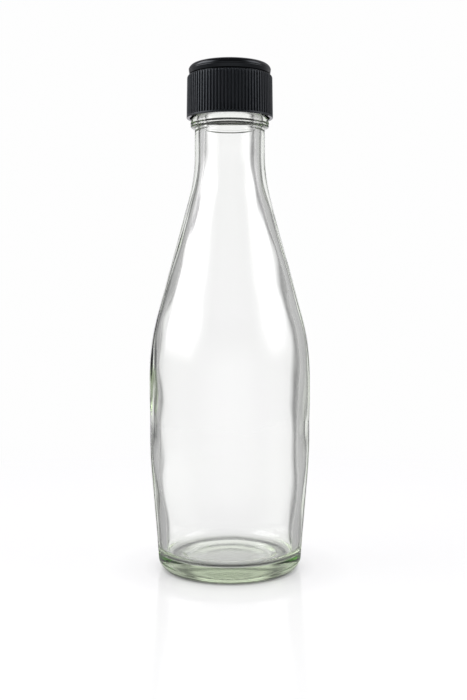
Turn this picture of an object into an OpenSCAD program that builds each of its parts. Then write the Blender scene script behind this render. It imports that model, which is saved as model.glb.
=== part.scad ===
// Small glass soda bottle with a plastic screw cap and the foam liner inside the cap.
// Millimetres, +Z up. The origin is the centre of the ring that the bottle stands on.

/* [Glass body] */
// Height of the glass, from the ring it stands on to the lip of the mouth
bottle_h = 170.6; // [140:0.2:210]
// Diameter of the contact band, the widest part of the glass
band_d = 56.1; // [46:0.1:68]
// Height of the lower edge of the contact band
band_low_z = 59; // [54:0.5:72]
// Length of the contact band
band_l = 6.8; // [3:0.2:12]
// How far the label panel lies inside the contact band
panel_inset = 0.24; // [0.1:0.02:1]
// Height at which the label panel starts
panel_low_z = 45.4; // [36:0.2:50]
// Length of the slope between the label panel and the contact band
panel_step_l = 5; // [2:0.5:8]
// How far the glass at the top of the heel lies inside the label panel
heel_inset = 3.05; // [1:0.05:5]
// How round the lower body is: at 1 no straight stretch is left below the label panel
lower_round = 0.49; // [0.1:0.01:0.95]
// Radius of the rounding between the side and the base
heel_r = 4.3; // [2:0.1:6]
// Width of the flat ring that the bottle stands on
ring_w = 1.6; // [0.8:0.1:3]
// Height of the hollow under the base, at its middle
push_up_h = 3.2; // [1:0.1:5]
// Wall of the body
body_wall = 2.7; // [1.8:0.1:3.6]
// How far from the label panel's lower edge the inside of the wall turns upright
inner_blend_l = 11.5; // [3:0.5:16]
// Thickness of the base, at the foot of the wall
base_t = 5.3; // [5:0.1:9]
// Radius of the inside corner between wall and floor
floor_corner_r = 3.4; // [2:0.1:7]
// How far the middle of the floor rises
floor_rise = 0.9; // [0.4:0.1:2]
// How round the shoulder is: at 1 no straight stretch is left between its two arcs
shoulder_round = 0.72; // [0.3:0.01:0.95]
// Share of that rounding which belongs to the outward arc, above the contact band
shoulder_share = 0.59; // [0.3:0.01:0.7]

/* [Neck finish] */
// Diameter of the mouth bore
bore_d = 18; // [14:0.1:22]
// Glass between the bore and the root of the thread
finish_wall = 3.48; // [2.5:0.02:4.5]
// How far the neck lies inside the root of the thread
neck_inset = 0.26; // [0:0.02:0.6]
// Length of the straight neck below the transfer bead
neck_l = 9.2; // [6:0.2:16]
// How far the transfer bead stands out from the root of the thread
bead_out = 1.24; // [0.8:0.01:2]
// Height of the transfer bead
bead_h = 4; // [3:0.1:6]
// How much of the transfer bead shows below the cap
bead_show = 3.4; // [2:0.1:5]
// Radius of the lower edge of the transfer bead
bead_edge_r = 1.4; // [0.5:0.1:1.5]
// Radius of the upper edge of the transfer bead
bead_top_r = 2.1; // [0.5:0.1:2.4]
// Radius of both edges of the lip
lip_r = 0.8; // [0.3:0.1:1.2]
// Rise of the thread in one turn
pitch = 3.175; // [2.6:0.005:3.8]
// Turns of thread on the glass, and in the cap
thread_turns = 1.6; // [1.2:0.1:2]
// Height of the thread above its root
thread_depth = 1.22; // [0.9:0.01:1.5]
// Plain land between the lip and the thread
land_l = 2.1; // [1.5:0.1:3.5]

/* [Cap] */
// Gap between the thread on the glass and the thread in the cap, on flanks and crests
thread_gap = 0.27; // [0.2:0.01:0.35]
// Gap between the transfer bead and the rim of the skirt
rim_gap = 0.24; // [0.15:0.01:0.4]
// Length of the skirt, from its rim to the underside of the top
skirt_l = 16.3; // [15.6:0.1:20]
// Wall of the skirt behind the ribs
skirt_wall = 0.6; // [0.5:0.05:1.2]
// Number of ribs round the skirt
rib_count = 80; // [48:4:96]
// Depth of the ribs
rib_depth = 0.34; // [0.2:0.02:0.5]
// How much wider the skirt is at its rim than at its top, on the radius
skirt_flare = 0.14; // [0:0.02:0.4]
// Height of the smooth rim under the ribs
rim_h = 0.65; // [0.4:0.05:1.5]
// Thickness of the top, under its rounded edge
top_t = 1.9; // [1.2:0.1:3]
// How far the rounded edge stands above the middle of the top
top_recess = 0.7; // [0.2:0.1:1]
// Height of the glossy rounded edge, from the groove to the top
crown_h = 3.7; // [3:0.1:5.5]
// How far the glossy rounded edge stands out from the groove
crown_out = 0.73; // [0.3:0.01:1]
// Wall of the cap behind the groove
groove_wall = 0.6; // [0.6:0.02:1.2]
// Radius over which the upper ends of the ribs round off
rib_end_r = 1; // [0.4:0.1:1.5]

/* [Liner] */
// Thickness of the liner
liner_t = 1.4; // [0.8:0.1:2.5]
// How far the liner reaches past the root of the thread, on the radius
liner_over = 0.42; // [0.3:0.02:0.6]
// Gap between the liner and the lip, and between the liner and the cap
liner_gap = 0.05; // [0.02:0.01:0.1]
// Gap between the rim of the liner and its seat
liner_side_gap = 0.15; // [0.1:0.01:0.3]

/* [Hidden] */
$fn = 96;

// Steps in each arc of an outline, and in one turn of a thread
arc_steps = 8;
turn_steps = 36;
// How deep the foot of a thread lies inside the wall that carries it
thread_bury = 0.4;
// Angle over which the ends of a thread fade into the wall
thread_fade = 45;

// Radii of the glass
band_r = band_d / 2;
panel_r = band_r - panel_inset;
heel_top_r = panel_r - heel_inset;
bore_r = bore_d / 2;
land_r = bore_r + finish_wall;
neck_r = land_r - neck_inset;
bead_r = land_r + bead_out;
crest_r = land_r + thread_depth;
bead_top_edge = min(bead_top_r, bead_h - bead_edge_r - 0.2);

// Heights of the glass
band_top_z = band_low_z + band_l;
panel_top_z = band_low_z - panel_step_l;

// Heel: its arc comes down flat at the ring's outer edge
heel_c = [heel_top_r - heel_r, heel_r];
ring_out_r = heel_c.x;
ring_in_r = ring_out_r - ring_w;

// Dome of the push-up, which starts at the ring's inner edge
dome_r = (ring_in_r * ring_in_r + push_up_h * push_up_h) / (2 * push_up_h);
dome_a = asin(ring_in_r / dome_r);

// Lower body: a straight stretch that leans outwards, tangent to the heel's arc below it
// and to a large arc above it, which ends upright at the label panel
lower_h = panel_low_z - heel_r;
lower_r = lower_round * (lower_h * lower_h + heel_inset * heel_inset) / (2 * heel_inset);
lower_reach = norm([lower_h, lower_r - heel_inset]);
lower_lean = atan2(lower_h, lower_r - heel_inset) - acos(lower_r / lower_reach);
blend_r = lower_r + heel_r;

// Inside of the body: a large arc turns the leaning wall upright
inner_r = panel_r - body_wall;
inner_turn_l = min(inner_blend_l, band_top_z - panel_low_z);
inner_turn_r = inner_turn_l / tan(lower_lean / 2);
floor_c = [heel_top_r - body_wall - floor_corner_r, base_t + floor_corner_r];
floor_edge_r = floor_c.x - 0.6;

// Thread sections. Both threads share one pitch, with the same gap on both flanks.
root_w = 0.69 * pitch;
crest_w = 0.28 * pitch;
flank = (root_w - crest_w) / (2 * thread_depth);
flank_gap = thread_gap * (sqrt(1 + flank * flank) - flank);
cap_root_w = pitch - crest_w - 2 * flank_gap;
cap_crest_w = pitch - root_w - 2 * flank_gap;
thread_low_z = bottle_h - land_l - root_w / 2 - pitch * thread_turns;

// Radii and heights of the cap and liner
cap_bore_r = crest_r + thread_gap;
cap_crest_r = land_r + thread_gap;
rim_bore_r = max(cap_bore_r, bead_r + rim_gap);
valley_r = cap_bore_r + skirt_wall;
rib_top_r = valley_r + rib_depth;
rim_r = rib_top_r + skirt_flare;
liner_r = land_r + liner_over;
seat_r = liner_r + liner_side_gap;
groove_r = seat_r + groove_wall;
crown_r = groove_r + crown_out;
liner_z = bottle_h + liner_gap;
top_under_z = liner_z + liner_t + liner_gap;
skirt_low_z = top_under_z - skirt_l;
panel_z = top_under_z + top_t;
cap_top_z = panel_z + top_recess;
groove_z = cap_top_z - crown_h;
rib_top_z = groove_z - 0.1;
bead_low_z = skirt_low_z - bead_show;
bead_top_z = bead_low_z + bead_h;
neck_low_z = bead_low_z - neck_l;

// Points of an arc about c, from angle a to angle b
function arc(c, r, a, b, n = arc_steps) =
    [for (i = [0:n]) c + r * [cos(a + (b - a) * i / n), sin(a + (b - a) * i / n)]];

// The same on an ellipse
function oval(c, rx, ry, a, b, n = arc_steps) =
    [for (i = [0:n]) c + [rx * cos(a + (b - a) * i / n), ry * sin(a + (b - a) * i / n)]];

// Outline that swings from an upright wall at low to an upright wall at high, further in:
// an outward arc, a straight stretch and an inward arc, each running into the next
function swing(low, high, round, share) =
    let (
        d = low.x - high.x,
        h = high.y - low.y,
        r = round * (h * h + d * d) / (2 * d),
        r_out = r * share,
        r_in = r - r_out,
        straight = sqrt((r - d) * (r - d) + h * h - r * r),
        lean = atan2(h, r - d) - atan2(straight, r)
    )
    concat(
        arc(low - [r_out, 0], r_out, 0, lean),
        arc(high + [r_in, 0], r_in, 180 + lean, 180)
    );

// Outer face of the glass, from the ring it stands on up to the lip
function glass_outside() = concat(
    [[ring_in_r, 0], [ring_out_r, 0]],
    arc(heel_c, heel_r, -90, -lower_lean),
    arc([panel_r - blend_r, panel_low_z], blend_r, -lower_lean, 0, 5),
    [for (i = [0:4])
        [panel_r + panel_inset * (1 - cos(45 * i)) / 2, panel_top_z + panel_step_l * i / 4]],
    swing([band_r, band_top_z], [neck_r, neck_low_z], shoulder_round, shoulder_share),
    [[neck_r, bead_low_z]],
    arc([bead_r - bead_edge_r, bead_low_z + bead_edge_r], bead_edge_r, -60, 0, 4),
    arc([bead_r - bead_top_edge, bead_top_z - bead_top_edge], bead_top_edge, 0, 62, 5),
    [[land_r, bead_top_z]],
    arc([land_r - lip_r, bottle_h - lip_r], lip_r, 0, 90, 4)
);

// Inner face of the glass, from the lip down to the middle of the floor
function glass_inside() =
    let (swung = swing([inner_r, band_top_z], [bore_r, neck_low_z], shoulder_round, shoulder_share))
    concat(
        arc([bore_r + lip_r, bottle_h - lip_r], lip_r, 90, 180, 4),
        [for (i = [len(swung) - 1:-1:0]) swung[i]],
        arc([inner_r - inner_turn_r, panel_low_z + inner_turn_l], inner_turn_r, 0, -lower_lean, 4),
        arc(floor_c, floor_corner_r, -lower_lean, -90),
        [for (i = [0:4]) [floor_edge_r * (1 - i / 8), base_t + floor_rise * sin(22.5 * i)]],
        [[0, base_t + floor_rise]]
    );

// Underside of the glass, from the middle of the push-up out to the ring
function glass_under() =
    arc([0, push_up_h - dome_r], dome_r, 90, 90 - dome_a);

// Ridge on a helix that climbs with its angle. Its foot is at foot_r and its crest at top_r,
// which may lie outside or inside the foot, and its ends fade into the wall.
module thread_ridge(foot_r, top_r, foot_w, top_w, low_z) {
    side = sign(top_r - foot_r);
    buried_r = foot_r - side * thread_bury;
    buried_w = foot_w + (foot_w - top_w) * thread_bury / abs(top_r - foot_r);
    n = round(turn_steps * thread_turns);
    step = 360 * thread_turns / n;
    points = [for (i = [0:n])
        let (
            a = step * i,
            fade = min(1, a / thread_fade, (360 * thread_turns - a) / thread_fade),
            r = foot_r - side * thread_bury / 2 + fade * (top_r - foot_r + side * thread_bury / 2),
            z = low_z + pitch * a / 360
        )
        for (p = [[buried_r, -buried_w], [r, -top_w], [r, top_w], [buried_r, buried_w]])
            [p.x * cos(a), p.x * sin(a), z + p.y / 2]];
    walls = [for (i = [0:n - 1], k = [0:3])
        [4 * i + k, 4 * i + (k + 1) % 4, 4 * i + 4 + (k + 1) % 4, 4 * i + 4 + k]];
    faces = concat(walls, [[3, 2, 1, 0], [for (k = [0:3]) 4 * n + k]]);
    polyhedron(points, side > 0 ? faces : [for (f = faces) [for (k = [3:-1:0]) f[k]]], convexity = 6);
}

module bottle() {
    color([0.80, 0.90, 0.85, 0.5])
        union() {
            rotate_extrude()
                polygon(concat(glass_outside(), glass_inside(), glass_under()));
            thread_ridge(land_r, crest_r, root_w, crest_w, thread_low_z);
        }
}

// Outline of the ribbed skirt seen from above
function rib_outline() =
    [for (i = [0:rib_count - 1], p = [[-0.42, 0], [-0.22, 1], [0.22, 1], [0.42, 0]])
        (valley_r + p.y * (rim_r - valley_r))
            * [cos(360 * (i + p.x) / rib_count), sin(360 * (i + p.x) / rib_count)]];

module ribs() {
    intersection() {
        translate([0, 0, skirt_low_z + rim_h / 2])
            linear_extrude(rib_top_z - skirt_low_z - rim_h / 2, convexity = 6)
                polygon(rib_outline());
        rotate_extrude()
            polygon(concat(
                [[0, skirt_low_z], [rim_r, skirt_low_z], [rib_top_r, rib_top_z - rib_end_r]],
                arc([rib_top_r - rib_end_r, rib_top_z - rib_end_r], rib_end_r, 30, 90, 2),
                [[0, rib_top_z]]
            ));
    }
}

// Smooth rim, wall behind the ribs and groove, and rounded glossy edge with its recessed top
module cap_shell() {
    crown_mid_z = groove_z + 0.54 * crown_h;
    crown_edge = 0.62 * crown_h;
    rotate_extrude()
        polygon(concat(
            [[0, skirt_low_z], [rim_r - 0.15, skirt_low_z], [rim_r, skirt_low_z + 0.15],
             [rim_r, skirt_low_z + rim_h], [valley_r - 0.2, skirt_low_z + rim_h],
             [valley_r - 0.2, rib_top_z - 0.5], [groove_r, rib_top_z - 0.1], [groove_r, groove_z]],
            oval([groove_r, crown_mid_z], crown_out, crown_mid_z - groove_z, -60, 0, 4),
            oval([crown_r - crown_edge, crown_mid_z], crown_edge, cap_top_z - crown_mid_z, 0, 90),
            [[crown_r - crown_edge - 0.4, cap_top_z], [crown_r - crown_edge - 0.4 - top_recess, panel_z],
             [0, panel_z]]
        ));
}

// Space inside the cap: rim, threaded wall, narrower seat of the liner
module cap_space() {
    rotate_extrude()
        polygon([
            [0, skirt_low_z - 1],
            [rim_bore_r, skirt_low_z - 1],
            [rim_bore_r, bead_top_z + 0.6],
            [cap_bore_r, bead_top_z + 1.2],
            [cap_bore_r, bottle_h - land_l],
            [seat_r, bottle_h - land_l + 0.8],
            [seat_r, bottle_h - 0.75],
            [cap_crest_r, bottle_h - 0.45],
            [seat_r, bottle_h - 0.1],
            [seat_r, top_under_z],
            [0, top_under_z]
        ]);
}

module cap() {
    color([0.05, 0.05, 0.06])
        union() {
            difference() {
                union() {
                    cap_shell();
                    ribs();
                }
                cap_space();
            }
            thread_ridge(cap_bore_r, cap_crest_r, cap_root_w, cap_crest_w, thread_low_z - pitch / 2);
        }
}

module liner() {
    color([0.88, 0.87, 0.84])
        translate([0, 0, liner_z])
            cylinder(r = liner_r, h = liner_t);
}

bottle();
cap();
liner();
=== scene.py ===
import math

import bpy
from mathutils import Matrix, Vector, noise


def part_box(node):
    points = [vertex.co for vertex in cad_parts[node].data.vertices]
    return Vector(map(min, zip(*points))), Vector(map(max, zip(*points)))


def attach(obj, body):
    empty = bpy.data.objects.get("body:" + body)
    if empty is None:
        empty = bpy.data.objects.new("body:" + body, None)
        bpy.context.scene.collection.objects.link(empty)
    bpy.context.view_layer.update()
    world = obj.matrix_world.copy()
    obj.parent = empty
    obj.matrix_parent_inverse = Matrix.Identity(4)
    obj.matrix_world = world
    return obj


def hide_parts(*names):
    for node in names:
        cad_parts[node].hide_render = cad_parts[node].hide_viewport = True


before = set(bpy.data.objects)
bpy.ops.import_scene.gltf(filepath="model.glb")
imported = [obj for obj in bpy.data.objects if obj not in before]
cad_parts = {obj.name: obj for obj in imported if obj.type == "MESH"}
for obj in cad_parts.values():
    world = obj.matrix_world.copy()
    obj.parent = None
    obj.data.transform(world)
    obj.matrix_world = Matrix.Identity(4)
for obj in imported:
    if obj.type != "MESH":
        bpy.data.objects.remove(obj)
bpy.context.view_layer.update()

mm = 0.001

# places that the frame gives
glassLow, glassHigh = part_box("bottle")
capLow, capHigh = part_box("cap")
linerLow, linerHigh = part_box("liner")
bandRadius = (glassHigh.x - glassLow.x) / 2 / mm
lipHeight = glassHigh.z / mm
rimHeight = capLow.z / mm + 0.08   # a little short of the CAD's rim
rimRadius = (capHigh.x - capLow.x) / 2 / mm
capTop = capHigh.z / mm
linerRadius = (linerHigh.x - linerLow.x) / 2 / mm


# outlines are lists of (radius, height) in mm, read from the outside of the piece to its inside

def arcPoints(centre, radius, startDeg, endDeg, steps, flat=1.0):
    # part of a circle, or of an ellipse when flat isn't 1
    points = []
    for i in range(steps + 1):
        angle = math.radians(startDeg + (endDeg - startDeg) * i / steps)
        points.append((centre[0] + radius * math.cos(angle), centre[1] + radius * flat * math.sin(angle)))
    return points


def swingPoints(low, high, roundness, outwardShare, steps):
    # from an upright wall at low to an upright wall at high, which lies further in
    inward = low[0] - high[0]
    rise = high[1] - low[1]
    both = roundness * (rise ** 2 + inward ** 2) / (2 * inward)
    outward = both * outwardShare
    straight = math.sqrt((both - inward) ** 2 + rise ** 2 - both ** 2)
    lean = math.degrees(math.atan2(rise, both - inward) - math.atan2(straight, both))
    first = arcPoints((low[0] - outward, low[1]), outward, 0, lean, steps)
    second = arcPoints((high[0] + both - outward, high[1]), both - outward, 180 + lean, 180, steps)
    return first + second


def spreadPoints(points, longest):
    # adds points so that no step of the outline is longer than that
    spread = [points[0]]
    for a, b in zip(points, points[1:]):
        parts = max(1, math.ceil(math.dist(a, b) / longest))
        for i in range(1, parts + 1):
            spread.append((a[0] + (b[0] - a[0]) * i / parts, a[1] + (b[1] - a[1]) * i / parts))
    return spread


def holdFlats(points, hold=0.05, shortest=0.5):
    # a point close to each end of a straight stretch keeps its shading flat
    held = [points[0]]
    for a, b in zip(points, points[1:]):
        length = math.dist(a, b)
        if length > shortest:
            for share in (hold / length, 1 - hold / length):
                held.append((a[0] + (b[0] - a[0]) * share, a[1] + (b[1] - a[1]) * share))
        held.append(b)
    return held


def dropDoubles(points, closest=0.004):
    kept = [points[0]]
    for point in points[1:]:
        if math.dist(point, kept[-1]) > closest:
            kept.append(point)
    return kept


def smoothStep(low, high, value):
    t = min(1.0, max(0.0, (value - low) / (high - low)))
    return t * t * (3 - 2 * t)


def bridgeRings(a, na, b, nb):
    # faces between a ring of na points and the next of nb, either count a multiple of the other
    if na == 1:
        return [(a, b + (j + 1) % nb, b + j) for j in range(nb)]
    if nb == 1:
        return [(a + j, a + (j + 1) % na, b) for j in range(na)]
    if na == nb:
        return [(a + j, a + (j + 1) % na, b + (j + 1) % nb, b + j) for j in range(na)]
    if na < nb:
        return [face[::-1] for face in bridgeRings(b, nb, a, na)]
    step = na // nb
    middle = step // 2
    faces = []
    for j in range(nb):
        fan = [a + (step * j + i) % na for i in range(step + 1)]
        near, far = b + j, b + (j + 1) % nb
        faces += [(fan[i], fan[i + 1], near if i < middle else far) for i in range(step)]
        faces.append((near, fan[middle], far))
    return faces


def skinRings(name, rings):
    # one closed skin over rings of points; a ring of one point is a pole
    verts = []
    starts = []
    for ring in rings:
        starts.append(len(verts))
        verts.extend(ring)
    faces = []
    for low, high, k in zip(rings, rings[1:], range(len(rings))):
        faces += bridgeRings(starts[k], len(low), starts[k + 1], len(high))
    mesh = bpy.data.meshes.new(name)
    mesh.from_pydata([tuple(c * mm for c in v) for v in verts], [], faces)
    mesh.validate()
    mesh.shade_smooth()
    piece = bpy.data.objects.new(name, mesh)
    bpy.context.scene.collection.objects.link(piece)
    return piece


def ringPoints(radius, height, count, shape=None):
    # shape(radius, height, angle) may move each point of the ring
    if radius < 1e-6:
        return [(0.0, 0.0, height)]
    ring = []
    for j in range(count):
        angle = 2 * math.pi * j / count
        r, z = shape(radius, height, angle) if shape else (radius, height)
        ring.append((r * math.cos(angle), r * math.sin(angle), z))
    return ring


def feedSocket(links, socket, value):
    # a number or a colour is set on the socket, the output of a node is linked to it
    if isinstance(value, (int, float, tuple)):
        socket.default_value = value
    else:
        links.new(value, socket)


def addMath(nodes, links, operation, first, second=None):
    step = nodes.new("ShaderNodeMath")
    step.operation = operation
    feedSocket(links, step.inputs[0], first)
    if second is not None:
        feedSocket(links, step.inputs[1], second)
    return step.outputs[0]


def addRange(nodes, links, value, start, end, low=0.0, high=1.0, soft=False):
    # runs from low to high while the value goes from start to end
    step = nodes.new("ShaderNodeMapRange")
    if soft:
        step.interpolation_type = "SMOOTHSTEP"
    for name, number in (("From Min", start), ("From Max", end), ("To Min", low), ("To Max", high)):
        step.inputs[name].default_value = number
    links.new(value, step.inputs["Value"])
    return step.outputs[0]


def addNoise(nodes, links, place, scale, detail):
    cloud = nodes.new("ShaderNodeTexNoise")
    cloud.inputs["Scale"].default_value = scale
    cloud.inputs["Detail"].default_value = detail
    links.new(place, cloud.inputs["Vector"])
    return cloud.outputs["Fac"]


def addBump(nodes, links, height, strength, distance):
    bump = nodes.new("ShaderNodeBump")
    feedSocket(links, bump.inputs["Strength"], strength)
    bump.inputs["Distance"].default_value = distance
    links.new(height, bump.inputs["Height"])
    return bump.outputs["Normal"]


def addColourMix(nodes, links, share, first, second, blend="MIX"):
    mix = nodes.new("ShaderNodeMix")
    mix.data_type = "RGBA"
    mix.blend_type = blend
    for name, value in (("Factor", share), ("A", first), ("B", second)):
        feedSocket(links, mix.inputs[name], value)
    return mix.outputs["Result"]


def startFinish(name, ior):
    # a new material, its shader, and the place and height on the piece that its patterns hang on
    material = bpy.data.materials.new(name)
    material.use_nodes = True
    nodes, links = material.node_tree.nodes, material.node_tree.links
    shader = nodes["Principled BSDF"]
    shader.inputs["IOR"].default_value = ior
    place = nodes.new("ShaderNodeTexCoord").outputs["Object"]
    split = nodes.new("ShaderNodeSeparateXYZ")
    links.new(place, split.inputs[0])
    return material, nodes, links, shader, place, split.outputs["Z"]


def threadRise(thread, height, angle):
    # how far a thread of that section stands out at a height and an angle, from 0 to 1
    turnAngle = math.degrees(angle) % 360
    best = 0.0
    total = 360 * thread["turns"]
    while turnAngle <= total:
        middle = thread["start"] + thread["pitch"] * turnAngle / 360
        away = abs(height - middle)
        fade = min(1.0, turnAngle / thread["fade"], (total - turnAngle) / thread["fade"])
        rootHalf, crestHalf = thread["rootWidth"] / 2, thread["crestWidth"] / 2
        rise = min(1.0, max(0.0, (rootHalf - away) / (rootHalf - crestHalf))) * max(0.0, fade)
        best = max(best, rise)
        turnAngle += 360
    return best * best * (3 - 2 * best) * 0.35 + best * 0.65


# lengths in mm, heights from the floor
glass = {
    "panelInset": 0.24,        # label panel inside the contact band
    "panelLow": 45.4,
    "panelTop": 49.0,          # a soft step runs from here to bandLow
    "bandLow": 59.0,           # contact band, the widest place
    "bandTop": 65.8,
    "heelInset": 3.05,
    "heelRadius": 4.3,
    "lowerRound": 0.49,        # 0 would make the lower body straight
    "ringWidth": 1.6,          # ring that it stands on
    "pushUp": 3.2,             # depth of the hollow under it
    "wall": 2.7,
    "innerBlend": 11.5,
    "baseThickness": 5.3,
    "cornerRadius": 3.4,       # inside, between wall and floor
    "floorRise": 0.5,
    "floorStep": 0.4,          # crisp edge of the disc inside, radius floorDisc
    "floorDisc": 16.0,
    "shoulderRound": 0.72,     # the higher, the more the shoulder is curved
    "shoulderShare": 0.59,     # how much of that is in its lower arc
    "boreRadius": 9.0,
    "landRadius": 12.48,
    "neckRadius": 12.22,
    "neckTop": 152.4,
    "neckLow": 143.2,
    "beadRadius": 13.72,
    "beadTop": 156.1,
    "beadMiddle": 154.0,
    "beadLowEdge": 0.8,
    "beadTopEdge": 0.7,
    "beadBevel": 15,           # degrees
    "slimRing": 0.6,           # radius of the ring under the bead
    "lipRadius": 0.8,
    "segments": 240,
    "longestStep": 2.5,        # between two rings of points, where nothing finer is needed
    "knurls": 80,
    "pointsPerKnurl": 9,       # knurls times this has to be a multiple of segments
    "knurlDepth": 0.5,
    "innerWave": 0.28,         # slow changes of the wall, from the blowing
    "outerWave": 0.04,
    "seamHeight": 0.07,
    "seamWidth": 0.35,
}
glassThread = {
    "pitch": 3.175,
    "turns": 1.6,
    "rootWidth": 2.19,
    "crestWidth": 0.89,
    "fade": 45,                # degrees over which it dies out at each end
    "depth": 1.22,
    "belowLip": 2.1,
    "step": 0.2,               # between rings of points along the thread
}
threadTop = lipHeight - glassThread["belowLip"]
threadLength = glassThread["turns"] * glassThread["pitch"]
glassThread["start"] = threadTop - glassThread["rootWidth"] / 2 - threadLength


def waveAt(height, angle, seed):
    # slow waves over the wall, the same each run
    around = Vector((math.cos(angle) * 1.5, math.sin(angle) * 1.5, height / 24.0 + seed))
    return noise.noise(around) + 0.4 * noise.noise(around * 2.3)


def glassOutsideShape(radius, height, angle):
    moved = radius
    if radius > 11.5 and height > glass["beadTop"] + 0.1 and height < lipHeight - 1.2:
        moved += glassThread["depth"] * threadRise(glassThread, height, angle)
    calm = smoothStep(2, 9, height) * (1 - smoothStep(glass["neckLow"] - 6, glass["neckLow"] + 2, height))
    moved += glass["outerWave"] * waveAt(height, angle, 3.0) * calm
    # two mould seams, left and right
    seam = math.exp(-((radius * math.sin(angle)) / glass["seamWidth"]) ** 2)
    seamEnd = 1 - smoothStep(glass["neckTop"] - 2, glass["neckTop"] - 0.5, height)
    moved += glass["seamHeight"] * seam * smoothStep(5, 12, height) * seamEnd
    return min(moved, bandRadius), height


def knurlShape(radius, height, angle):
    # short bars round the ring that the bottle stands on
    ringMiddle = ringOuter - glass["ringWidth"] / 2 + 0.4
    near = math.exp(-((radius - ringMiddle) / 1.5) ** 2)
    bar = 0.5 + 0.5 * math.cos(angle * glass["knurls"])
    return radius, height + glass["knurlDepth"] * near * (1 - bar ** 0.7)


def glassInsideShape(radius, height, angle):
    calm = smoothStep(9, 26, height) * (1 - smoothStep(glass["neckLow"] - 24, glass["neckLow"] + 4, height))
    neckCalm = smoothStep(glass["neckLow"] - 24, glass["neckLow"], height) * 0.25
    lipCalm = 1 - smoothStep(lipHeight - 14, lipHeight - 8, height)
    moved = radius + glass["innerWave"] * waveAt(height, angle, 11.0) * (calm + neckCalm * lipCalm)
    return moved, height


panelRadius = bandRadius - glass["panelInset"]
heelTop = panelRadius - glass["heelInset"]
heelCentre = (heelTop - glass["heelRadius"], glass["heelRadius"])
ringOuter = heelCentre[0]
ringInner = ringOuter - glass["ringWidth"]
lowerRise = glass["panelLow"] - glass["heelRadius"]
lowerArc = glass["lowerRound"] * (lowerRise ** 2 + glass["heelInset"] ** 2) / (2 * glass["heelInset"])
lowerLean = math.degrees(math.atan2(lowerRise, lowerArc - glass["heelInset"])
                         - math.acos(lowerArc / math.hypot(lowerRise, lowerArc - glass["heelInset"])))


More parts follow.
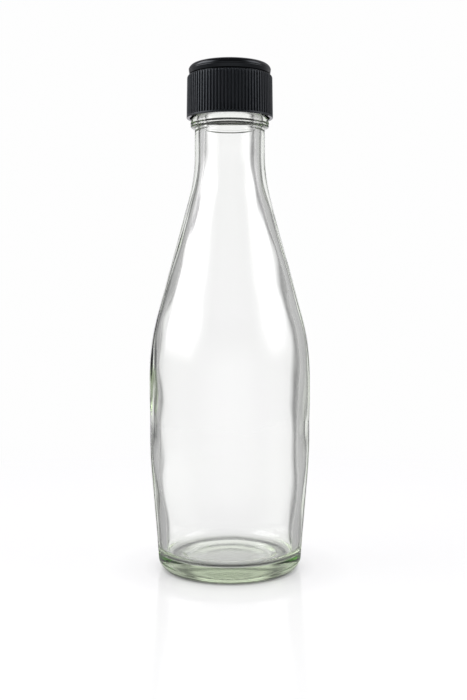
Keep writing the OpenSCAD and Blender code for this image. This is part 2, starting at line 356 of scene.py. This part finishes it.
def glassRings():
    g = glass
    domeRadius = (ringInner ** 2 + g["pushUp"] ** 2) / (2 * g["pushUp"])
    domeHalf = math.degrees(math.asin(ringInner / domeRadius))
    under = arcPoints((0, g["pushUp"] - domeRadius), domeRadius, 90, 90 - domeHalf, 14)
    ring = arcPoints((ringInner + 0.5, 0.5), 0.5, 215, 270, 3) + [(ringOuter, 0)]
    heel = arcPoints(heelCentre, g["heelRadius"], -90, -lowerLean, 18)
    blend = arcPoints((panelRadius - lowerArc - g["heelRadius"], g["panelLow"]),
                      lowerArc + g["heelRadius"], -lowerLean, 0, 10)
    step = []
    for i in range(13):
        share = (1 - math.cos(math.pi * i / 12)) / 2
        step.append((panelRadius + g["panelInset"] * share,
                     g["panelTop"] + (g["bandLow"] - g["panelTop"]) * i / 12))
    shoulder = swingPoints((bandRadius, g["bandTop"]), (g["neckRadius"], g["neckLow"]),
                           g["shoulderRound"], g["shoulderShare"], 16)
    # under the bead proper runs a slimmer ring, with a shallow groove between the two
    bead = [(g["neckRadius"], g["neckTop"] - 0.5), (g["neckRadius"] + 0.03, g["neckTop"] - 0.2),
            (g["neckRadius"] + 0.14, g["neckTop"])]
    slim = g["slimRing"]
    bead += arcPoints((g["beadRadius"] - 0.05 - slim, g["neckTop"] + 0.08 + slim), slim, -85, 42, 14)
    low = g["beadLowEdge"]
    bead += arcPoints((g["beadRadius"] - low, g["beadMiddle"]), low, -40, 0, 8)
    # its upper half is a steep bevel with a rounded edge
    bead += arcPoints((g["beadRadius"] - low, g["beadMiddle"]), low, 0, g["beadBevel"], 4)[1:]
    high = g["beadTopEdge"]
    lean = math.radians(g["beadBevel"])
    shelf = g["beadTop"] - 0.2 - high
    start = bead[-1][0] - (shelf + high * math.sin(lean) - bead[-1][1]) * math.tan(lean)
    bead += arcPoints((start - high * math.cos(lean), shelf), high, g["beadBevel"], 75, 8)
    bead += [(g["landRadius"] + 0.1, g["beadTop"] - 0.05), (g["landRadius"], g["beadTop"] + 0.12)]
    edge = g["lipRadius"]
    lip = arcPoints((g["landRadius"] - edge, lipHeight - edge), edge, 0, 90, 8)
    longest = g["longestStep"]
    outside = heel + spreadPoints([heel[-1]] + blend, longest)[1:] + step
    outside = spreadPoints(outside, longest) + spreadPoints(shoulder, longest)
    outside += spreadPoints([shoulder[-1], bead[0]], longest)[1:] + bead
    finish = spreadPoints([outside[-1], lip[0]], glassThread["step"])[1:]
    outside = dropDoubles(outside + finish)

    innerRadius = panelRadius - g["wall"]
    corner = (heelTop - g["wall"] - g["cornerRadius"], g["baseThickness"] + g["cornerRadius"])
    inside = arcPoints((g["boreRadius"] + edge, lipHeight - edge), edge, 90, 180, 8)
    inner = swingPoints((innerRadius, g["bandTop"]), (g["boreRadius"], g["neckLow"]),
                        g["shoulderRound"], g["shoulderShare"], 16)
    turnIn = g["innerBlend"] / math.tan(math.radians(lowerLean / 2))
    middle = (innerRadius - turnIn, g["panelLow"] + g["innerBlend"])
    upper = inner[::-1] + arcPoints(middle, turnIn, 0, -lowerLean, 8)
    inside += spreadPoints([inside[-1]] + upper, longest)[1:]
    cornerArc = arcPoints(corner, g["cornerRadius"], -lowerLean, -90, 14)
    inside += spreadPoints([inside[-1], cornerArc[0]], longest)[1:] + cornerArc
    disc = g["floorDisc"]
    lift = g["floorStep"]
    floor = [(disc + 0.9, g["baseThickness"] + 0.01), (disc + 0.35, g["baseThickness"] + 0.03)]
    floor += [(disc + out, g["baseThickness"] + lift * share)
              for out, share in ((0.2, 0.18), (0.05, 0.5), (-0.1, 0.82), (-0.25, 0.95), (-0.5, 1.0))]
    for i in range(1, 21):
        share = i / 20
        height = g["baseThickness"] + lift + g["floorRise"] * math.sin(math.radians(90 * share))
        floor.append(((disc - 0.5) * (1 - share), height))
    inside = dropDoubles(inside + floor)

    n = g["segments"]
    rings = [ringPoints(r, z, n) for r, z in under[:-1]]
    fine = g["pointsPerKnurl"] * g["knurls"]
    rings += [ringPoints(r, z, fine, knurlShape) for r, z in dropDoubles(ring + heel[1:10])]
    rest = [p for p in outside if p[1] > heel[9][1] + 0.01]
    rings += [ringPoints(r, z, n, glassOutsideShape) for r, z in rest]
    rings += [ringPoints(r, z, n) for r, z in dropDoubles(lip)[1:]]
    rings += [ringPoints(r, z, n, glassInsideShape) for r, z in inside[1:]]
    return rings


def glassFinish():
    finish = {
        "ior": 1.52,
        "tint": (0.50, 0.733, 0.208, 1.0),   # what the colour leaves over a long way through the glass
        "tintDensity": 13.5,
        "scuffReach": (4.5, 1.0),   # from the middle of the band, none and all, mm
        "scuffScale": 900,
        "scuffShare": (0.66, 0.74),
        "scuffRoughness": 0.16,
        "undersideEdge": 0.4,
        "undersideRoughness": 0.22,
        "rippleScale": 160,
        "rippleStrength": 0.35,
        "rippleDepth": 0.00002,
    }
    material, nodes, links, shader, place, height = startFinish("clearGlass", finish["ior"])
    shader.inputs["Base Color"].default_value = (1, 1, 1, 1)
    shader.inputs["Transmission Weight"].default_value = 1.0
    # scuffs, only on the contact band, where bottles rub on each other
    bandMiddle = (glass["bandLow"] + glass["bandTop"]) / 2 * mm
    offBand = addMath(nodes, links, "ABSOLUTE", addMath(nodes, links, "SUBTRACT", height, bandMiddle))
    reachNone, reachAll = finish["scuffReach"]
    onBand = addRange(nodes, links, offBand, reachNone * mm, reachAll * mm, soft=True)
    scuffs = addNoise(nodes, links, place, finish["scuffScale"], 4)
    rareScuffs = addRange(nodes, links, scuffs, *finish["scuffShare"], 0.0, finish["scuffRoughness"])
    scuffed = addMath(nodes, links, "MULTIPLY", onBand, rareScuffs)
    # stippled underside, inside the ring that the bottle stands on
    underside = addRange(nodes, links, height, (glass["pushUp"] + finish["undersideEdge"]) * mm,
                         (glass["pushUp"] - finish["undersideEdge"]) * mm,
                         0.0, finish["undersideRoughness"], soft=True)
    flatPlace = nodes.new("ShaderNodeVectorMath")
    flatPlace.operation = "MULTIPLY"
    flatPlace.inputs[1].default_value = (1, 1, 0)
    links.new(place, flatPlace.inputs[0])
    outward = nodes.new("ShaderNodeVectorMath")
    outward.operation = "LENGTH"
    links.new(flatPlace.outputs[0], outward.inputs[0])
    ringEdge = ((ringOuter - 0.3) * mm, (ringOuter - 1.0) * mm)
    withinRing = addRange(nodes, links, outward.outputs["Value"], *ringEdge)
    stippled = addMath(nodes, links, "MULTIPLY", underside, withinRing)
    links.new(addMath(nodes, links, "MAXIMUM", scuffed, stippled), shader.inputs["Roughness"])
    # faint ripple of the mould surface
    ripple = addNoise(nodes, links, place, finish["rippleScale"], 2)
    bump = addBump(nodes, links, ripple, finish["rippleStrength"], finish["rippleDepth"])
    links.new(bump, shader.inputs["Normal"])
    depth = nodes.new("ShaderNodeVolumeAbsorption")
    depth.inputs["Color"].default_value = finish["tint"]
    depth.inputs["Density"].default_value = finish["tintDensity"]
    links.new(depth.outputs[0], nodes["Material Output"].inputs["Volume"])
    return material


bottlePiece = skinRings("glass_bottle", glassRings())
bottlePiece.data.materials.append(glassFinish())
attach(bottlePiece, "bottle")
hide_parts("bottle")
print("glass bottle:", len(bottlePiece.data.vertices), "points")


cap = {
    "ribs": 80,
    "rimHeight": 0.6,
    "valleyRadius": 14.45,
    "ribTopRadius": 14.87,
    "ribEnd": 1.0,
    "ribTop": 170.8,
    "groove": 171.05,
    "grooveRadius": 13.6,
    "crownRadius": 14.38,
    "crownMiddle": 172.6,
    "crownEdge": 2.3,
    "panel": 174.0,
    "boreRadius": 13.97,
    "seatRadius": 13.05,
    "keeperRadius": 12.75,     # bead that keeps the liner in
    "underside": 172.1,
    "pointsPerRib": 15,        # ribs times this has to be a multiple of segments
    "segments": 240,
}
capThread = {
    "pitch": 3.175,
    "turns": 1.6,
    "rootWidth": 1.96,
    "crestWidth": 0.66,
    "fade": 45,
    "depth": 1.22,
    "start": glassThread["start"] - glassThread["pitch"] / 2,
}


def ribShape(radius, height, angle):
    # radius is the envelope of the ribs; between them it falls back to the valley
    c = cap
    across = abs((angle * c["ribs"] / (2 * math.pi) + 0.5) % 1 - 0.5)
    crest = 1 - smoothStep(0.20, 0.36, across)
    ribStart = rimHeight + c["rimHeight"]
    floorFade = smoothStep(ribStart, ribStart + 0.35, height)
    valley = min(radius, c["valleyRadius"])
    return radius + (valley - radius) * (1 - crest) * floorFade, height


def capInsideShape(radius, height, angle):
    if radius < cap["boreRadius"] - 0.01:
        return radius, height
    return radius - capThread["depth"] * threadRise(capThread, height, angle), height


def capRings():
    c = cap
    fine = c["ribs"] * c["pointsPerRib"]
    n = c["segments"]
    rim = arcPoints((rimRadius - 0.12, rimHeight + 0.12), 0.12, -90, 0, 4)
    rim.append((rimRadius, rimHeight + c["rimHeight"] - 0.05))
    ribs = [(rimRadius - 0.01, rimHeight + c["rimHeight"] + 0.05 * i) for i in range(8)]
    ribs += spreadPoints([ribs[-1], (c["ribTopRadius"], c["ribTop"] - c["ribEnd"])], 3.0)[1:]
    ribs += arcPoints((c["ribTopRadius"] - c["ribEnd"], c["ribTop"] - c["ribEnd"]), c["ribEnd"], 8, 90, 9)
    groove = [(c["grooveRadius"] + 0.05, c["ribTop"]), (c["grooveRadius"], c["ribTop"] + 0.06),
              (c["grooveRadius"] + 0.04, c["groove"] + 0.1)]
    # lower part of the crown nearly upright, a shallow groove round it, then the rounded edge
    crown = arcPoints((c["crownRadius"] - 0.72, c["groove"] + 0.45), 0.54, -75, -8, 10, flat=0.83)
    crown.append((c["crownRadius"] - 0.03, c["crownMiddle"] - 0.18))
    for up, inward in ((-0.10, 0.04), (-0.05, 0.11), (0.02, 0.16), (0.10, 0.13), (0.17, 0.05)):
        crown.append((c["crownRadius"] - inward, c["crownMiddle"] + up))
    edge = c["crownEdge"]
    bow = (capTop - c["crownMiddle"]) / edge
    crown += arcPoints((c["crownRadius"] - edge, c["crownMiddle"]), edge, 8, 90, 20, flat=bow)
    inward = c["crownRadius"] - edge - 0.3
    recess = capTop - c["panel"]
    top = [(inward, capTop)] + arcPoints((inward, capTop - 0.2), 0.2, 90, 135, 3)
    top.append((inward - 0.5, c["panel"] + 0.2))
    top += arcPoints((inward - recess + 0.1, c["panel"] + 0.1), 0.14, 315, 270, 2)
    top = [p for p in top if p[1] >= c["panel"]]
    panel = [(r, c["panel"]) for r in (9.6, 7.5, 5.0, 2.6, 1.3, 1.2)]
    gate = [(1.05, c["panel"] + 0.12), (0.5, c["panel"] + 0.16), (0, c["panel"] + 0.16)]
    rings = [ringPoints(r, z, fine) for r, z in dropDoubles(rim)]
    rings += [ringPoints(r, z, fine, ribShape) for r, z in dropDoubles(ribs)]
    rings += [ringPoints(r, z, n) for r, z in holdFlats(dropDoubles(groove + crown + top + panel + gate))]

    # seat of the liner with the small bead that keeps it in, then the thread
    seat, keeper, bore = c["seatRadius"], c["keeperRadius"], c["boreRadius"]
    inside = [(seat, c["underside"]), (seat, lipHeight - 0.1), (keeper + 0.05, lipHeight - 0.38),
              (keeper, lipHeight - 0.45), (keeper + 0.05, lipHeight - 0.52), (seat, lipHeight - 0.75),
              (seat, lipHeight - 1.3), (bore, threadTop)]
    threaded = spreadPoints([(bore, threadTop), (bore, glass["beadTop"] + 1.2)], glassThread["step"])
    mouth = [(bore, glass["beadTop"] + 0.7), (bore, rimHeight + 0.08),
             (bore + 0.08, rimHeight), (rimRadius - 0.12, rimHeight)]
    mouth = holdFlats(mouth, 0.04, 0.3)[:-1]
    ceiling = [(r, c["underside"]) for r in (0, 3, 6, 9, 12, seat - 0.15)]
    inner = [ringPoints(r, z, n) for r, z in ceiling]
    inner += [ringPoints(r, z, n, capInsideShape) for r, z in holdFlats(dropDoubles(inside)) + threaded[1:]]
    inner += [ringPoints(r, z, n) for r, z in mouth]
    return rings, inner


def capPiece():
    # the outer skin runs from the rim to the middle of the top, the inner one back to the rim
    outer, inner = capRings()
    return skinRings("ribbed_cap", inner + outer)


def plasticFinish():
    finish = {
        "ior": 1.49,
        "colour": (0.0054, 0.0068, 0.0084, 1.0),
        "wornColour": (0.013, 0.014, 0.016, 1.0),
        "wornShare": 0.6,
        "wornScale": 220,
        # painted shade: a darker copy of the black, used on the crown
        "crownShadedColour": (0.0016, 0.0018, 0.0022, 1.0),
        "gloss": 0.32,
        "glossTint": (0.86, 0.94, 1.0, 1.0),
        "crownRoughness": 0.055,
        "skirtRoughness": 0.36,
        "endRoughness": 0.3,       # share of that left on the end of the skirt
        "smear": 0.03,
        "smearScale": 90,
        "grain": 0.00003,
        "grainScale": 2600,
        "crownGrain": 0.12,
    }
    material, nodes, links, shader, place, height = startFinish("blackCapPlastic", finish["ior"])
    shader.inputs["Specular IOR Level"].default_value = finish["gloss"]
    shader.inputs["Specular Tint"].default_value = finish["glossTint"]
    # skirt or crown, by height; the crown gets a darker copy of the same black, painted shade for the dark
    # room that its glossy face reflects
    onCrown = addRange(nodes, links, height, (cap["ribTop"] - 0.1) * mm, (cap["ribTop"] + 0.1) * mm)
    cloud = addNoise(nodes, links, place, finish["wornScale"], 5)
    wear = addRange(nodes, links, cloud, 0.45, 0.85, 0.0, finish["wornShare"])
    skirtColour = addColourMix(nodes, links, wear, finish["colour"], finish["wornColour"])
    colour = addColourMix(nodes, links, onCrown, skirtColour, finish["crownShadedColour"])
    links.new(colour, shader.inputs["Base Color"])
    smear = addNoise(nodes, links, place, finish["smearScale"], 3)
    smearing = addRange(nodes, links, smear, 0.0, 1.0, -finish["smear"], finish["smear"])
    base = addRange(nodes, links, onCrown, 0.0, 1.0, finish["skirtRoughness"], finish["crownRoughness"])
    rough = addMath(nodes, links, "ADD", base, smearing)
    # the end of the skirt is as smooth as the mould's plate
    endLow, endHigh = (rimHeight + 0.02) * mm, (rimHeight + 0.10) * mm
    offEnd = addRange(nodes, links, height, endLow, endHigh, finish["endRoughness"], 1.0)
    links.new(addMath(nodes, links, "MULTIPLY", rough, offEnd), shader.inputs["Roughness"])
    grain = addNoise(nodes, links, place, finish["grainScale"], 2)
    grainDepth = addRange(nodes, links, onCrown, 0.0, 1.0, 1.0, finish["crownGrain"])
    endGrain = addRange(nodes, links, height, endLow, endHigh)
    strength = addMath(nodes, links, "MULTIPLY", grainDepth, endGrain)
    links.new(addBump(nodes, links, grain, strength, finish["grain"]), shader.inputs["Normal"])
    return material


ribbedCap = capPiece()
ribbedCap.data.materials.append(plasticFinish())
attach(ribbedCap, "cap")
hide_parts("cap")
print("cap:", len(ribbedCap.data.vertices), "points")


liner = {
    "ringRadius": 10.8,        # dent that the lip leaves in the foam
    "ringDepth": 0.05,
    "ringWidth": 0.9,
    "edge": 0.18,
    "segments": 120,
}


def linerRings():
    low, high = linerLow.z / mm, linerHigh.z / mm
    edge = liner["edge"]
    under = []
    for r in (0, 2, 4, 6, 8, 9, 9.6, 10.1, 10.5, 10.8, 11.1, 11.5, 12.0, 12.4):
        away = (r - liner["ringRadius"]) / liner["ringWidth"]
        under.append((r, low + liner["ringDepth"] * math.exp(-away ** 2)))
    side = arcPoints((linerRadius - edge, low + edge), edge, -90, 0, 4)
    side += arcPoints((linerRadius - edge, high - edge), edge, 0, 90, 4)
    over = [(r, high) for r in (10, 7, 4, 2, 0)]
    return [ringPoints(r, z, liner["segments"]) for r, z in under + side + over]


def foamFinish():
    finish = {
        "ior": 1.45,
        "colour": (0.80, 0.79, 0.75, 1.0),
        "shade": (0.68, 0.67, 0.62, 1.0),
        "shadeScale": 260,
        "roughness": (0.5, 0.75),
        "cell": 1500,
        "cellDepth": 0.00004,
    }
    material, nodes, links, shader, place = startFinish("linerFoam", finish["ior"])[:5]
    cells = nodes.new("ShaderNodeTexVoronoi")
    cells.inputs["Scale"].default_value = finish["cell"]
    links.new(place, cells.inputs["Vector"])
    cloud = addNoise(nodes, links, place, finish["shadeScale"], 2)
    colour = addColourMix(nodes, links, cloud, finish["colour"], finish["shade"])
    links.new(colour, shader.inputs["Base Color"])
    links.new(addRange(nodes, links, cloud, 0.0, 1.0, *finish["roughness"]), shader.inputs["Roughness"])
    bump = addBump(nodes, links, cells.outputs["Distance"], 0.6, finish["cellDepth"])
    links.new(bump, shader.inputs["Normal"])
    return material


foamLiner = skinRings("foam_liner", linerRings())
foamLiner.data.materials.append(foamFinish())
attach(foamLiner, "liner")
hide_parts("liner")
print("liner:", len(foamLiner.data.vertices), "points")


studio = {
    "white": 0.99,
    "balance": (1.017, 1.0, 1.04, 1),   # takes the glass's own colour out of thin walls
    "floorSize": 2.5,
    "floorGlow": 0.945,         # share of the floor's white that no shadow can take
    "floorDiffuse": 0.13,
    "floorRoughness": 0.13,
    "floorIor": 1.28,
    "floorFade": (0.14, 0.30),
    "floorAside": 0.025,       # the gaps start beside the glass, not behind it
    "nearFloor": (0.0240, 0.0285),  # from here outwards the glass sees the studio's panels in the floor
    # painted shade on the floor that the glass sees, strongest near the base and gone beyond these
    # distances
    "floorShadeReach": (0.050, 0.160),
    "floorShadeLevel": 0.90,
    # distance from the axis and what is left of the light there
    "contactShadow": [(0.0125, 1.0), (0.0172, 0.55), (0.0190, 0.22), (0.0205, 0.06), (0.0216, 0.14),
                      (0.0228, 0.45), (0.0242, 0.76), (0.0264, 0.87), (0.0300, 0.94), (0.0420, 1.0)],
    "underGlass": 0.50,        # brightness of the shaded floor that the glass sees inside that
    # white panels, lamps and dark gaps round the object: (turn from straight behind, brightness)
    "low": [(-180, 0.74), (-160, 0.72), (-140, 0.56), (-122, 0.52), (-110, 0.62), (-76, 0.62), (-64, 0.50),
            (-46, 0.50), (-37, 0.40), (-32, 0.10), (-26, 0.08), (-22, 0.55), (-17, 1.02), (14, 1.02),
            (18, 0.55), (21, 0.12), (26, 0.14), (31, 0.45), (46, 0.55), (74, 0.50), (86, 0.50), (104, 0.50),
            (118, 0.50), (140, 0.56), (160, 0.72), (180, 0.74)],
    "high": [(-180, 0.14), (-146, 0.18), (-129, 1.0), (-117, 4.6), (-74, 4.6), (-64, 0.6),
             (-46, 0.50), (-37, 0.40), (-32, 0.10), (-26, 0.08), (-22, 0.55), (-17, 1.05), (14, 1.05),
             (18, 0.55), (21, 0.12), (26, 0.14), (31, 0.45), (46, 0.55), (74, 0.6), (84, 3.2), (112, 3.2),
             (125, 0.8), (142, 0.18), (180, 0.14)],
    "rise": (0.0, 0.32),       # sines of the heights at which high takes over from low
    "lampTop": (0.70, 0.88),
    "ceiling": 0.2,
}


def addRamp(nodes, links, share, stopsWanted):
    # stopsWanted is a list of (share, brightness)
    ramp = nodes.new("ShaderNodeValToRGB")
    stops = ramp.color_ramp.elements
    for i, (spot, value) in enumerate(stopsWanted):
        stop = stops[i] if i < 2 else stops.new(spot)
        stop.position = spot
        stop.color = (value, value, value, 1)
    links.new(share, ramp.inputs["Fac"])
    return ramp.outputs["Color"]


def addTurnRamp(nodes, links, turn, stopsWanted):
    share = addRange(nodes, links, turn, -math.pi, math.pi)
    return addRamp(nodes, links, share, [((degrees + 180) / 360, value) for degrees, value in stopsWanted])


def addTurn(nodes, links, vector, aside=0.0):
    # the angle round the object, 0 straight behind it; with aside, what lies that near its middle
    # plane counts as straight behind or in front
    split = nodes.new("ShaderNodeSeparateXYZ")
    links.new(vector, split.inputs[0])
    across = split.outputs["X"]
    if aside:
        beside = addMath(nodes, links, "SUBTRACT", addMath(nodes, links, "ABSOLUTE", across), aside)
        size = addMath(nodes, links, "MAXIMUM", beside, 0.0)
        across = addMath(nodes, links, "MULTIPLY", size, addMath(nodes, links, "SIGN", across))
    return addMath(nodes, links, "ARCTAN2", across, split.outputs["Y"]), split.outputs["Z"]


def addProduct(nodes, links, first, second):
    return addColourMix(nodes, links, 1.0, first, second, blend="MULTIPLY")


def grey(level):
    return (level, level, level, 1)


def makeRoom():
    world = bpy.data.worlds.new("whiteRoom")
    bpy.context.scene.world = world
    world.use_nodes = True
    nodes, links = world.node_tree.nodes, world.node_tree.links
    nodes.clear()
    place = nodes.new("ShaderNodeTexCoord")
    turn, up = addTurn(nodes, links, place.outputs["Generated"])
    low = addTurnRamp(nodes, links, turn, studio["low"])
    high = addTurnRamp(nodes, links, turn, studio["high"])
    rise = addRange(nodes, links, up, *studio["rise"], soft=True)
    sides = addColourMix(nodes, links, rise, low, high)
    top = addRange(nodes, links, up, *studio["lampTop"], soft=True)
    panels = addColourMix(nodes, links, top, sides, grey(studio["ceiling"]))
    balanced = addProduct(nodes, links, panels, studio["balance"])
    seen = nodes.new("ShaderNodeLightPath")
    colour = addColourMix(nodes, links, seen.outputs["Is Camera Ray"], balanced, grey(studio["white"]))
    back = nodes.new("ShaderNodeBackground")
    links.new(colour, back.inputs["Color"])
    out = nodes.new("ShaderNodeOutputWorld")
    links.new(back.outputs[0], out.inputs["Surface"])


def floorShade(nodes, links, place, away):
    # seen directly the floor is plain white; the glass sees the panels' mirror images in it
    turn = addTurn(nodes, links, place, studio["floorAside"])[0]
    panels = addProduct(nodes, links, addTurnRamp(nodes, links, turn, studio["low"]), studio["balance"])
    # painted shade: the floor gets a little darker towards the base, as the glass sees it, for the shadow
    # that the bottle casts on it
    clear = addRange(nodes, links, away, *studio["floorShadeReach"], soft=True)
    paintedFloorShade = addColourMix(nodes, links, clear, grey(studio["floorShadeLevel"]), grey(1))
    panels = addProduct(nodes, links, panels, paintedFloorShade)
    beyond = addRange(nodes, links, away, *studio["nearFloor"], soft=True)
    pattern = addColourMix(nodes, links, beyond, grey(studio["underGlass"]), panels)
    seen = nodes.new("ShaderNodeLightPath")
    plain = addColourMix(nodes, links, seen.outputs["Is Camera Ray"], pattern, grey(1))
    # narrow shadow where the ring of the base stands on the floor
    reach = studio["contactShadow"][-1][0]
    nearness = addRange(nodes, links, away, 0.0, reach)
    shadow = [(radius / reach, value) for radius, value in studio["contactShadow"]]
    contact = addRamp(nodes, links, nearness, shadow)
    return addProduct(nodes, links, plain, contact)


def makeFloor():
    size = studio["floorSize"]
    corners = [(-size, -size, 0), (size, -size, 0), (size, size, 0), (-size, size, 0)]
    mesh = bpy.data.meshes.new("floor")
    mesh.from_pydata(corners, [], [(0, 1, 2, 3)])
    floor = bpy.data.objects.new("floor", mesh)
    bpy.context.scene.collection.objects.link(floor)
    material = bpy.data.materials.new("whiteFloor")
    material.use_nodes = True
    nodes, links = material.node_tree.nodes, material.node_tree.links
    nodes.clear()
    place = nodes.new("ShaderNodeTexCoord").outputs["Object"]
    distance = nodes.new("ShaderNodeVectorMath")
    distance.operation = "LENGTH"
    links.new(place, distance.inputs[0])
    away = distance.outputs["Value"]
    shade = floorShade(nodes, links, place, away)
    glow = nodes.new("ShaderNodeEmission")
    links.new(shade, glow.inputs["Color"])
    glow.inputs["Strength"].default_value = studio["white"] * studio["floorGlow"]
    matt = nodes.new("ShaderNodeBsdfDiffuse")
    links.new(addColourMix(nodes, links, studio["floorDiffuse"], grey(0), shade), matt.inputs["Color"])
    both = nodes.new("ShaderNodeAddShader")
    links.new(glow.outputs[0], both.inputs[0])
    links.new(matt.outputs[0], both.inputs[1])
    gloss = nodes.new("ShaderNodeBsdfGlossy")
    gloss.inputs["Roughness"].default_value = studio["floorRoughness"]
    edge = nodes.new("ShaderNodeFresnel")
    edge.inputs["IOR"].default_value = studio["floorIor"]
    # far from the object the floor only glows, so that it meets the room without a line
    far = nodes.new("ShaderNodeEmission")
    far.inputs["Strength"].default_value = studio["white"]
    links.new(shade, far.inputs["Color"])
    fade = addRange(nodes, links, away, *studio["floorFade"], soft=True)
    near = nodes.new("ShaderNodeMixShader")
    mix = nodes.new("ShaderNodeMixShader")
    for blend, share, first, second in ((near, edge.outputs[0], both, gloss), (mix, fade, near, far)):
        links.new(share, blend.inputs[0])
        links.new(first.outputs[0], blend.inputs[1])
        links.new(second.outputs[0], blend.inputs[2])
    out = nodes.new("ShaderNodeOutputMaterial")
    links.new(mix.outputs[0], out.inputs["Surface"])
    mesh.materials.append(material)


# lengths in m, lens in mm
camera = {
    "away": 0.351,
    "height": 0.0993,
    "aside": 0.0013,
    "lens": 51.74,
    "shift": -0.0987,
}


def makeCamera():
    data = bpy.data.cameras.new("camera")
    data.lens = camera["lens"]
    data.sensor_width = 36
    data.shift_y = camera["shift"]
    data.clip_start = 0.01
    eye = bpy.data.objects.new("camera", data)
    eye.location = (camera["aside"], -camera["away"], camera["height"])
    eye.rotation_euler = (math.radians(90), 0, 0)
    bpy.context.scene.collection.objects.link(eye)
    bpy.context.scene.camera = eye


makeRoom()
makeFloor()
makeCamera()
scene = bpy.context.scene
scene.view_settings.view_transform = "Standard"
scene.cycles.max_bounces = 32
scene.cycles.transmission_bounces = 28
scene.cycles.glossy_bounces = 28
print("studio ready")
